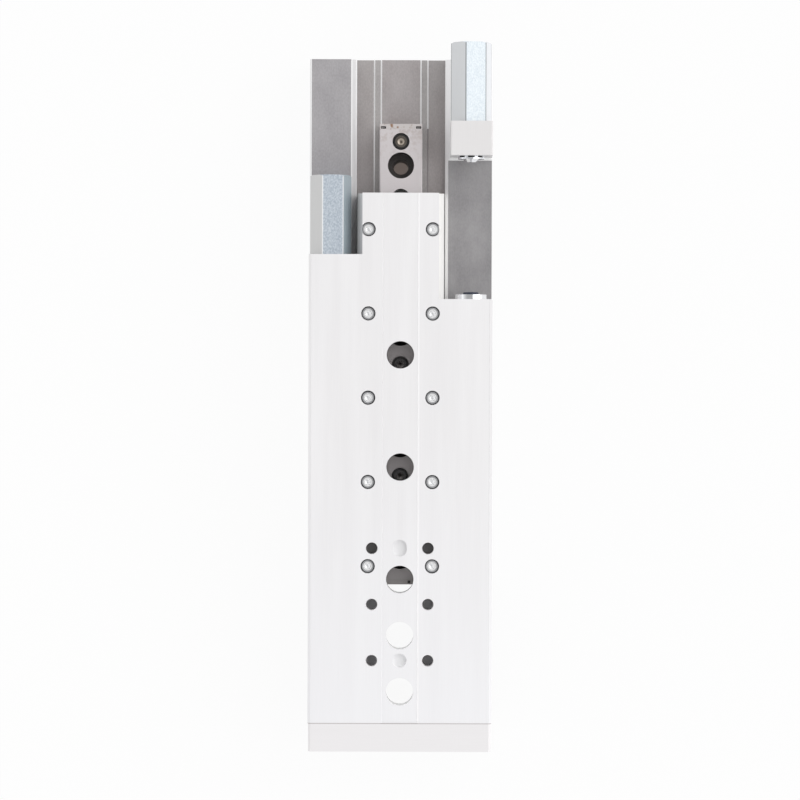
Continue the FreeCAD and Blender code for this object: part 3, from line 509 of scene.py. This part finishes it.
# Painted shade on the left groove edge; the right groove edge is made metallic for a highlight.
groove_edge = upward.between(wall_up, edge_up) * height.above(groove_low) * aside.below(groove_half)
right_groove_highlight = groove_edge * across.above(0.0)
left_groove_shade = groove_edge * across.below(0.0)
slide_colour = slide_finish.mix(left_groove_shade, slide_colour, tone(228, 227, 228))
# Painted light: the locating hole and slot floors are painted white against their shade.
locating = aside.below(pin_half) * height.below(top_skin) * along.between(pin_front, pin_rear)
slide_colour = slide_finish.mix(locating, slide_colour, tone(255, 255, 255))
waves = slide_finish.grain((1.0, 0.06, 1.0), scale=160.0, detail=5.0).rise(low=0.3, high=0.7)
slide_colour = slide_finish.mix(waves * wave_strength, slide_colour, tone(230, 228, 229))
pale_front = along.rise(pale_from, pale_to) * pale_strength
slide_colour = slide_finish.mix(pale_front, slide_colour, tone(246, 246, 249))
# Painted highlight along the right groove edge.
groove_highlight_line = abs(across - line_side).below(line_half) * height.above(groove_low) * upward.above(wall_up)
slide_colour = slide_finish.mix(groove_highlight_line, slide_colour, tone(250, 249, 250))
slide_colour = slide_finish.mix(along.below(seam_rear), slide_colour, tone(196, 191, 191))
# Painted light: the access hole walls are painted white against their shade.
access_wall = aside.below(access_half) * upward.below(wall_up) * along.below(access_rear)
slide_colour = slide_finish.mix(access_wall * height.below(top_skin), slide_colour, tone(255, 255, 255))
# Painted shade on the floors of the rear tapped holes.
rear_hole_shade = abs(aside - hole_side).below(hole_reach) * abs(along - rear_row).below(hole_reach)
slide_colour = slide_finish.mix(rear_hole_shade * height.below(rear_hole_shade_top), slide_colour, tone(172, 170, 170))
# Painted shade: the side walls are painted darker than the top.
shaded_sides = upward.below(wall_up) * aside.above(wing_inner)
slide_colour = slide_finish.mix(shaded_sides, slide_colour, tone(222, 221, 223))
slide_lines = slide_finish.grain(along_slide, scale=3000.0)
slide_finish.settle(slide_colour, slide_lines, depth=0.045, relief=0.1)
slide_finish.feed("Metallic", right_groove_highlight)
paint(slide_finish, "slide")

thread_pitch = 0.0008
thread_radius = 0.00234
thread_top = 0.0396
front_rows = (-0.1209, -0.1009)
deep_turns = 9
shallow_turns = 6
hole_sides = (-hole_side, hole_side)


def thread_coil(name, radius, pitch, turns):
    """The ridge of an inside thread, modelled about the Z axis and going down from z 0."""
    ridge_sides = 3
    turn_steps = 24
    merge_reach = 0.000001
    bpy.ops.object.select_all(action="DESELECT")
    spot = (radius, 0.0, -pitch * turns)
    upright = (math.radians(90.0), math.radians(-90.0), 0.0)
    bpy.ops.mesh.primitive_circle_add(
        vertices=ridge_sides, radius=pitch * 0.5, location=spot, rotation=upright
    )
    coil = bpy.context.object
    coil.name = name
    bpy.ops.object.transform_apply(location=True, rotation=True, scale=True)
    winding = coil.modifiers.new("winding", "SCREW")
    winding.angle = 2.0 * math.pi
    winding.screw_offset = pitch
    winding.iterations = turns
    winding.steps = turn_steps
    winding.render_steps = turn_steps
    bpy.ops.object.modifier_apply(modifier="winding")
    bpy.ops.object.mode_set(mode="EDIT")
    bpy.ops.mesh.select_all(action="SELECT")
    bpy.ops.mesh.remove_doubles(threshold=merge_reach)
    bpy.ops.mesh.fill_holes(sides=ridge_sides)
    bpy.ops.mesh.select_all(action="SELECT")
    bpy.ops.mesh.normals_make_consistent(inside=False)
    bpy.ops.object.mode_set(mode="OBJECT")
    return coil


deep_places = [(side, row, thread_top) for row in front_rows for side in hole_sides]
deep_coil = thread_coil("coil", thread_radius, thread_pitch, deep_turns)
deep_threads = set_out(deep_coil, "slide_threads", deep_places)
shallow_places = [(side, rear_row, thread_top) for side in hole_sides]
shallow_coil = thread_coil("coil", thread_radius, thread_pitch, shallow_turns)
shallow_threads = set_out(shallow_coil, "slide_threads_rear", shallow_places)
thread_finish = Finish("thread_metal", metal=0.0, rough=0.4)
thread_finish.settle(tone(234, 232, 232), thread_finish.grain(even, scale=2500.0), depth=0.15, relief=0.1)
dress(deep_threads, thread_finish, "slide")
# Painted shade: the threads of the shallow rear holes are painted darker.
shaded_thread_finish = Finish("thread_shaded", metal=0.0, rough=0.4)
shaded_thread_finish.settle(tone(172, 170, 170), shaded_thread_finish.grain(even, scale=2500.0), depth=0.15, relief=0.1)
dress(shallow_threads, shaded_thread_finish, "slide")


# Channel screws, yoke screws and rod screws: zinc plated socket head screws
# that hold the channel to the slide and the yoke to the slide and the rods. The
# drill leaves a shiny cone at the bottom of each socket. The socket centres are
# painted white as a glint and the head rims painted dark as shade.
channel_screw_side = 0.01145
channel_screw_rear = 0.0327
channel_screw_pitch = 0.030
channel_screw_count = 5
channel_socket_floor = 0.03755
head_low = 0.0370
glint_reach = 0.00155
head_rim = 0.00205

plated_finish = Finish("plated_screws", metal=0.15, rough=0.35)
across, along, height = plated_finish.parts(plated_finish.spot)
beside = abs(across) - channel_screw_side
spaced = (along - channel_screw_rear).repeat(channel_screw_pitch)
reach = (beside * beside + spaced * spaced).root()
in_head = height.above(head_low)
mottle = plated_finish.grain(even, scale=700.0)
plated_colour = plated_finish.mix(mottle, tone(168, 169, 171), tone(200, 201, 203))
# Painted glint: the socket centres are painted white.
plated_colour = plated_finish.mix(in_head * reach.below(glint_reach), plated_colour, tone(255, 255, 255))
# Painted shade on the head rims.
rim_shade = in_head * plated_finish.facing()[2].above(flat_up) * reach.above(head_rim)
plated_colour = plated_finish.mix(rim_shade, plated_colour, tone(92, 93, 95))
plated_finish.settle(plated_colour, plated_finish.grain(even, scale=2600.0), depth=0.12, relief=0.1)
paint(plated_finish, "channel_screws", "yoke_screws", "rod_screws")
paint(plated_finish, "stop_block_screws", "counter_stop_screws")

point_places = []
for side in (-channel_screw_side, channel_screw_side):
    for number in range(channel_screw_count):
        row = channel_screw_rear - channel_screw_pitch * number
        point_places.append((side, row, channel_socket_floor))
channel_point = socket_point(radius=0.00099, rim=0.0006, depth=0.00055)
socket_points = set_out(channel_point, "socket_points", point_places)
point_finish = Finish("socket_steel", metal=1.0, rough=0.2)
point_finish.settle(tone(250, 251, 252), point_finish.grain(even, scale=1800.0), depth=0.06, relief=0.05)
dress(socket_points, point_finish, "slide")


# Yoke plate: an aluminium plate, milled and satin anodised, across the slide's
# front end. The rods are screwed to it, and its face has four tapped holes.
seam_front = -0.14345
yoke_face = -0.1529
yoke_levels = (0.0105, 0.0305)
yoke_turns = 11
lying = (math.radians(90.0), 0.0, 0.0)

yoke_finish = Finish("yoke_anodised", metal=0.0, rough=0.42)
seam = yoke_finish.parts(yoke_finish.spot)[1].above(seam_front)
yoke_top = yoke_finish.facing()[2].above(wall_up)
# Painted shade: faces that do not face up are painted darker than the top.
yoke_colour = yoke_finish.mix(yoke_top, tone(224, 223, 224), tone(239, 237, 238))
yoke_colour = yoke_finish.mix(seam, yoke_colour, tone(196, 191, 191))
yoke_lines = yoke_finish.grain(across_slide, scale=2800.0)
yoke_finish.settle(yoke_colour, yoke_lines, depth=0.04, relief=0.1)
paint(yoke_finish, "yoke_plate")

yoke_places = [(side, yoke_face, level) for level in yoke_levels for side in hole_sides]
yoke_coil = thread_coil("coil", thread_radius, thread_pitch, yoke_turns)
yoke_threads = set_out(yoke_coil, "yoke_threads", yoke_places, lying)
dress(yoke_threads, thread_finish, "slide")


# Port threads: the two air ports in the housing's rear face are tapped for a
# screwed fitting, so each has a thread cut into the bare aluminium.
port_face = 0.0941
port_level = 0.009
port_turns = 8
lying_forward = (math.radians(-90.0), 0.0, 0.0)

port_places = [(side, port_face, port_level) for side in hole_sides]
port_coil = thread_coil("coil", thread_radius, thread_pitch, port_turns)
port_threads = set_out(port_coil, "port_threads", port_places, lying_forward)
dress(port_threads, thread_finish, "housing")


# Stop block: a drawn and anodised aluminium block screwed to the housing's
# right land from below, its sides painted a shade darker than its top. The
# right stop goes through it, with a ring of small steel teeth on its front
# face; the neck between the teeth is painted dark as shade.
block_finish = Finish("block_anodised", metal=0.0, rough=0.45)
block_top = block_finish.facing()[2].above(wall_up)
# Painted shade: faces that do not face up are painted darker than the top.
block_colour = block_finish.mix(block_top, tone(220, 219, 219), tone(231, 229, 229))
block_lines = block_finish.grain(along_slide, scale=2400.0)
block_finish.settle(block_colour, block_lines, depth=0.06, relief=0.12)
paint(block_finish, "stop_block", "counter_stop_block")

stop_side = 0.0251
stop_level = 0.03225
ring_front = 0.0581
ring_back = 0.0586
block_front = 0.0592
ring_outer = 0.00475
ring_neck = 0.0043
ring_inner = 0.0036
neck_room = 0.0001
ring_parts = 48
tooth_pitch = 45.0
tooth_half = 4.5
bpy.ops.object.select_all(action="DESELECT")
ring_spot = (stop_side, ring_front, stop_level)
bpy.ops.mesh.primitive_circle_add(
    vertices=ring_parts, radius=ring_outer, location=ring_spot, rotation=lying
)
toothed_ring = bpy.context.object
toothed_ring.name = "toothed_ring"
bpy.ops.object.transform_apply(location=True, rotation=True, scale=True)
bpy.ops.object.mode_set(mode="EDIT")
bpy.ops.mesh.select_all(action="SELECT")
for narrow in (ring_neck / ring_outer, ring_inner / ring_neck):
    bpy.ops.mesh.extrude_edges_move()
    bpy.ops.transform.resize(value=(narrow, 1.0, narrow), center_override=ring_spot)
bpy.ops.mesh.select_all(action="SELECT")
bpy.ops.mesh.extrude_region_move(TRANSFORM_OT_translate={"value": (0.0, ring_back - ring_front, 0.0)})
bpy.ops.mesh.select_all(action="SELECT")
bpy.ops.mesh.normals_make_consistent(inside=False)
bpy.ops.mesh.select_mode(type="FACE")
bpy.ops.mesh.select_all(action="DESELECT")
bpy.ops.object.mode_set(mode="OBJECT")
for face in toothed_ring.data.polygons:
    beside = face.center.x - stop_side
    over = face.center.z - stop_level
    angle = math.degrees(math.atan2(over, beside)) % tooth_pitch
    tooth = abs(angle - tooth_pitch / 2.0) < tooth_half
    face.select = face.normal.y > flat_up and (tooth or math.hypot(beside, over) < ring_neck)
bpy.ops.object.mode_set(mode="EDIT")
bpy.ops.mesh.extrude_region_move(TRANSFORM_OT_translate={"value": (0.0, block_front - ring_back, 0.0)})
bpy.ops.mesh.select_all(action="SELECT")
bpy.ops.mesh.normals_make_consistent(inside=False)
bpy.ops.object.mode_set(mode="OBJECT")
tooth_finish = Finish("toothed_ring", metal=0.8, rough=0.16)
across, along, height = tooth_finish.parts(tooth_finish.spot)
beside = across - stop_side
over = height - stop_level
reach = (beside * beside + over * over).root()
# Painted shade: the neck between the teeth is painted dark.
neck_shade = along.above(ring_back) * reach.below(ring_neck + neck_room)
tooth_colour = tooth_finish.mix(neck_shade, tone(238, 240, 244), tone(44, 44, 46))
tooth_finish.settle(tooth_colour, tooth_finish.grain(even, scale=1800.0), depth=0.1, relief=0.1)
dress(toothed_ring, tooth_finish, "housing")


# Lock sleeves: hexagon bar of zinc plated steel, turned down to a thread at
# the end that goes into the block and the slide. The zinc is mottled; the side
# flats are painted lighter and darker by their facing as light falls on them,
# and the corners carry a painted line, dark shade on the bright sleeve and a
# bright highlight on the dull one.
def zinc_finish(name, left_flat_painted_light, top_colour, fleck_colour, right_flat_painted_light, corner_painted_line):
    """Mottled zinc on a hexagon sleeve, with plain side flats in painted light and shade by their facing
    and a painted line on each corner.
    """
    corner_reach = 0.00738
    side_turned = 0.3
    tint_strength = 0.8
    finish = Finish(name, metal=0.3, rough=0.34)
    across, along, height = finish.parts(finish.spot)
    beside = abs(across) - stop_side
    over = height - stop_level
    reach = (beside * beside + over * over).root()
    fleck = finish.grain((1.0, 0.6, 1.0), scale=2300.0, detail=6.0).rise(low=0.38, high=0.62)
    zinc = finish.mix(fleck, top_colour, fleck_colour)
    sideways = finish.facing()[0]
    # Painted light and shade: the left and right flats take their own tones by facing, and the corners a
    # painted line.
    zinc = finish.mix(sideways.below(-side_turned), zinc, left_flat_painted_light)
    zinc = finish.mix(sideways.above(side_turned) * tint_strength, zinc, right_flat_painted_light)
    zinc = finish.mix(reach.above(corner_reach) * tint_strength, zinc, corner_painted_line)
    drawn_lines = finish.grain((1.0, 0.05, 1.0), scale=2200.0)
    finish.settle(zinc, drawn_lines, depth=0.05, relief=0.12)
    return finish


bright_zinc = zinc_finish(
    "sleeve_zinc",
    left_flat_painted_light=tone(210, 212, 214),
    top_colour=tone(229, 236, 240),
    fleck_colour=tone(212, 221, 228),
    right_flat_painted_light=tone(238, 239, 242),
    corner_painted_line=tone(118, 122, 125),
)
paint(bright_zinc, "right_lock_sleeve")
dull_zinc = zinc_finish(
    "sleeve_zinc_dull",
    left_flat_painted_light=tone(205, 205, 205),
    top_colour=tone(166, 177, 189),
    fleck_colour=tone(198, 206, 214),
    right_flat_painted_light=tone(188, 202, 208),
    corner_painted_line=tone(246, 248, 249),
)
paint(dull_zinc, "left_lock_sleeve")


# Stop screws and pins, buffer holders and buffers: bright hardened steel screws
# with a pin at the tip, screwed through the sleeves, and moulded polyurethane
# buffers in turned holders that take the blow.
stop_finish = Finish("stop_steel", metal=1.0, rough=0.14)
stop_turning = stop_finish.grain((1.0, 0.1, 1.0), scale=2000.0)
stop_finish.settle(tone(240, 241, 243), stop_turning, depth=0.12, relief=0.1)
paint(stop_finish, "right_stop_screw", "left_stop_screw", "right_stop_pin", "left_stop_pin")
paint(stop_finish, "left_buffer_holder", "right_buffer_holder")
buffer_finish = Finish("buffer_rubber", metal=0.0, rough=0.55)
buffer_finish.settle(tone(40, 48, 66), buffer_finish.grain(even, scale=1500.0), depth=0.2, relief=0.15)
paint(buffer_finish, "left_buffer", "right_buffer")


# Studio: a white floor under the housing, an even white surround, one large
# soft light from above and the camera straight over the slide, a little turned.
floor_size = 4.0
floor_drop = 0.0002
shaded_half = 0.032
shaded_end = 0.094
glow_share = 0.93
shade_share = 0.81

bpy.ops.object.select_all(action="DESELECT")
bpy.ops.mesh.primitive_plane_add(size=floor_size, location=(0.0, 0.0, cad_low.z - floor_drop))
studio_floor = bpy.context.object
studio_floor.name = "studio_floor"
floor_finish = Finish("floor_white", metal=0.0, rough=0.9)
floor_finish.feed("Base Color", tone(234, 234, 234))
ray_kinds = ("Is Camera Ray", "Is Glossy Ray", "Is Transmission Ray")
camera_ray, glossy_ray, through_ray = [
    floor_finish.node("ShaderNodeLightPath", output=kind) for kind in ray_kinds
]
seen = (camera_ray + glossy_ray + through_ray).above(0.5)
across, along, height = floor_finish.parts(floor_finish.spot)
# Painted shadow: under the housing the floor's glow is cut down and tinted brown.
under = abs(across).below(shaded_half) * along.between(-shaded_end, shaded_end)
glow_colour = floor_finish.mix(under, tone(255, 255, 255), tone(252, 229, 217))
glow = floor_finish.node("ShaderNodeEmission", None, {"Color": glow_colour, "Strength": 1.0})
floor_mix = floor_finish.tree.nodes.new("ShaderNodeMixShader")
floor_finish.join(seen * (glow_share - under * shade_share), floor_mix.inputs[0])
floor_finish.tree.links.new(floor_finish.shader.outputs[0], floor_mix.inputs[1])
floor_finish.tree.links.new(glow.socket, floor_mix.inputs[2])
floor_surface = floor_finish.tree.nodes["Material Output"].inputs["Surface"]
floor_finish.tree.links.new(floor_mix.outputs[0], floor_surface)
studio_floor.data.materials.append(floor_finish.material)

side_lift = 0.40
top_lift = 0.90
side_level = 1.25
top_level = 0.46
surround = bpy.data.worlds.new("surround")
surround.use_nodes = True
sky = surround.node_tree.nodes
direction = sky.new("ShaderNodeTexCoord")
lifted = sky.new("ShaderNodeSeparateXYZ")
surround.node_tree.links.new(direction.outputs["Generated"], lifted.inputs[0])
fade = sky.new("ShaderNodeMapRange")
fade.inputs["From Min"].default_value = side_lift
fade.inputs["From Max"].default_value = top_lift
fade.inputs["To Min"].default_value = side_level
fade.inputs["To Max"].default_value = top_level
surround.node_tree.links.new(lifted.outputs["Z"], fade.inputs["Value"])
surround.node_tree.links.new(fade.outputs["Result"], sky["Background"].inputs["Color"])
sky["Background"].inputs["Strength"].default_value = 1.0
bpy.context.scene.world = surround

light_place = (0.6, 0.2, 0.7)
light_turn = (math.radians(-14.0), math.radians(42.0), 0.0)
light_level = 0.88
light_spread = math.radians(60.0)
bpy.ops.object.light_add(type="SUN", location=light_place)
soft_light = bpy.context.object
soft_light.rotation_euler = light_turn
soft_light.data.energy = light_level
soft_light.data.angle = light_spread

camera_place = (-0.0001, -0.0281, 1.44)
camera_turn = (0.0, 0.0, math.radians(0.17))
sensor_width = 36.0
lens_length = 177.0
far_limit = 10.0
bpy.ops.object.camera_add(location=camera_place, rotation=camera_turn)
camera = bpy.context.object
camera.data.sensor_width = sensor_width
camera.data.lens = lens_length
camera.data.clip_end = far_limit
bpy.context.scene.camera = camera
bpy.context.scene.view_settings.view_transform = "Standard"
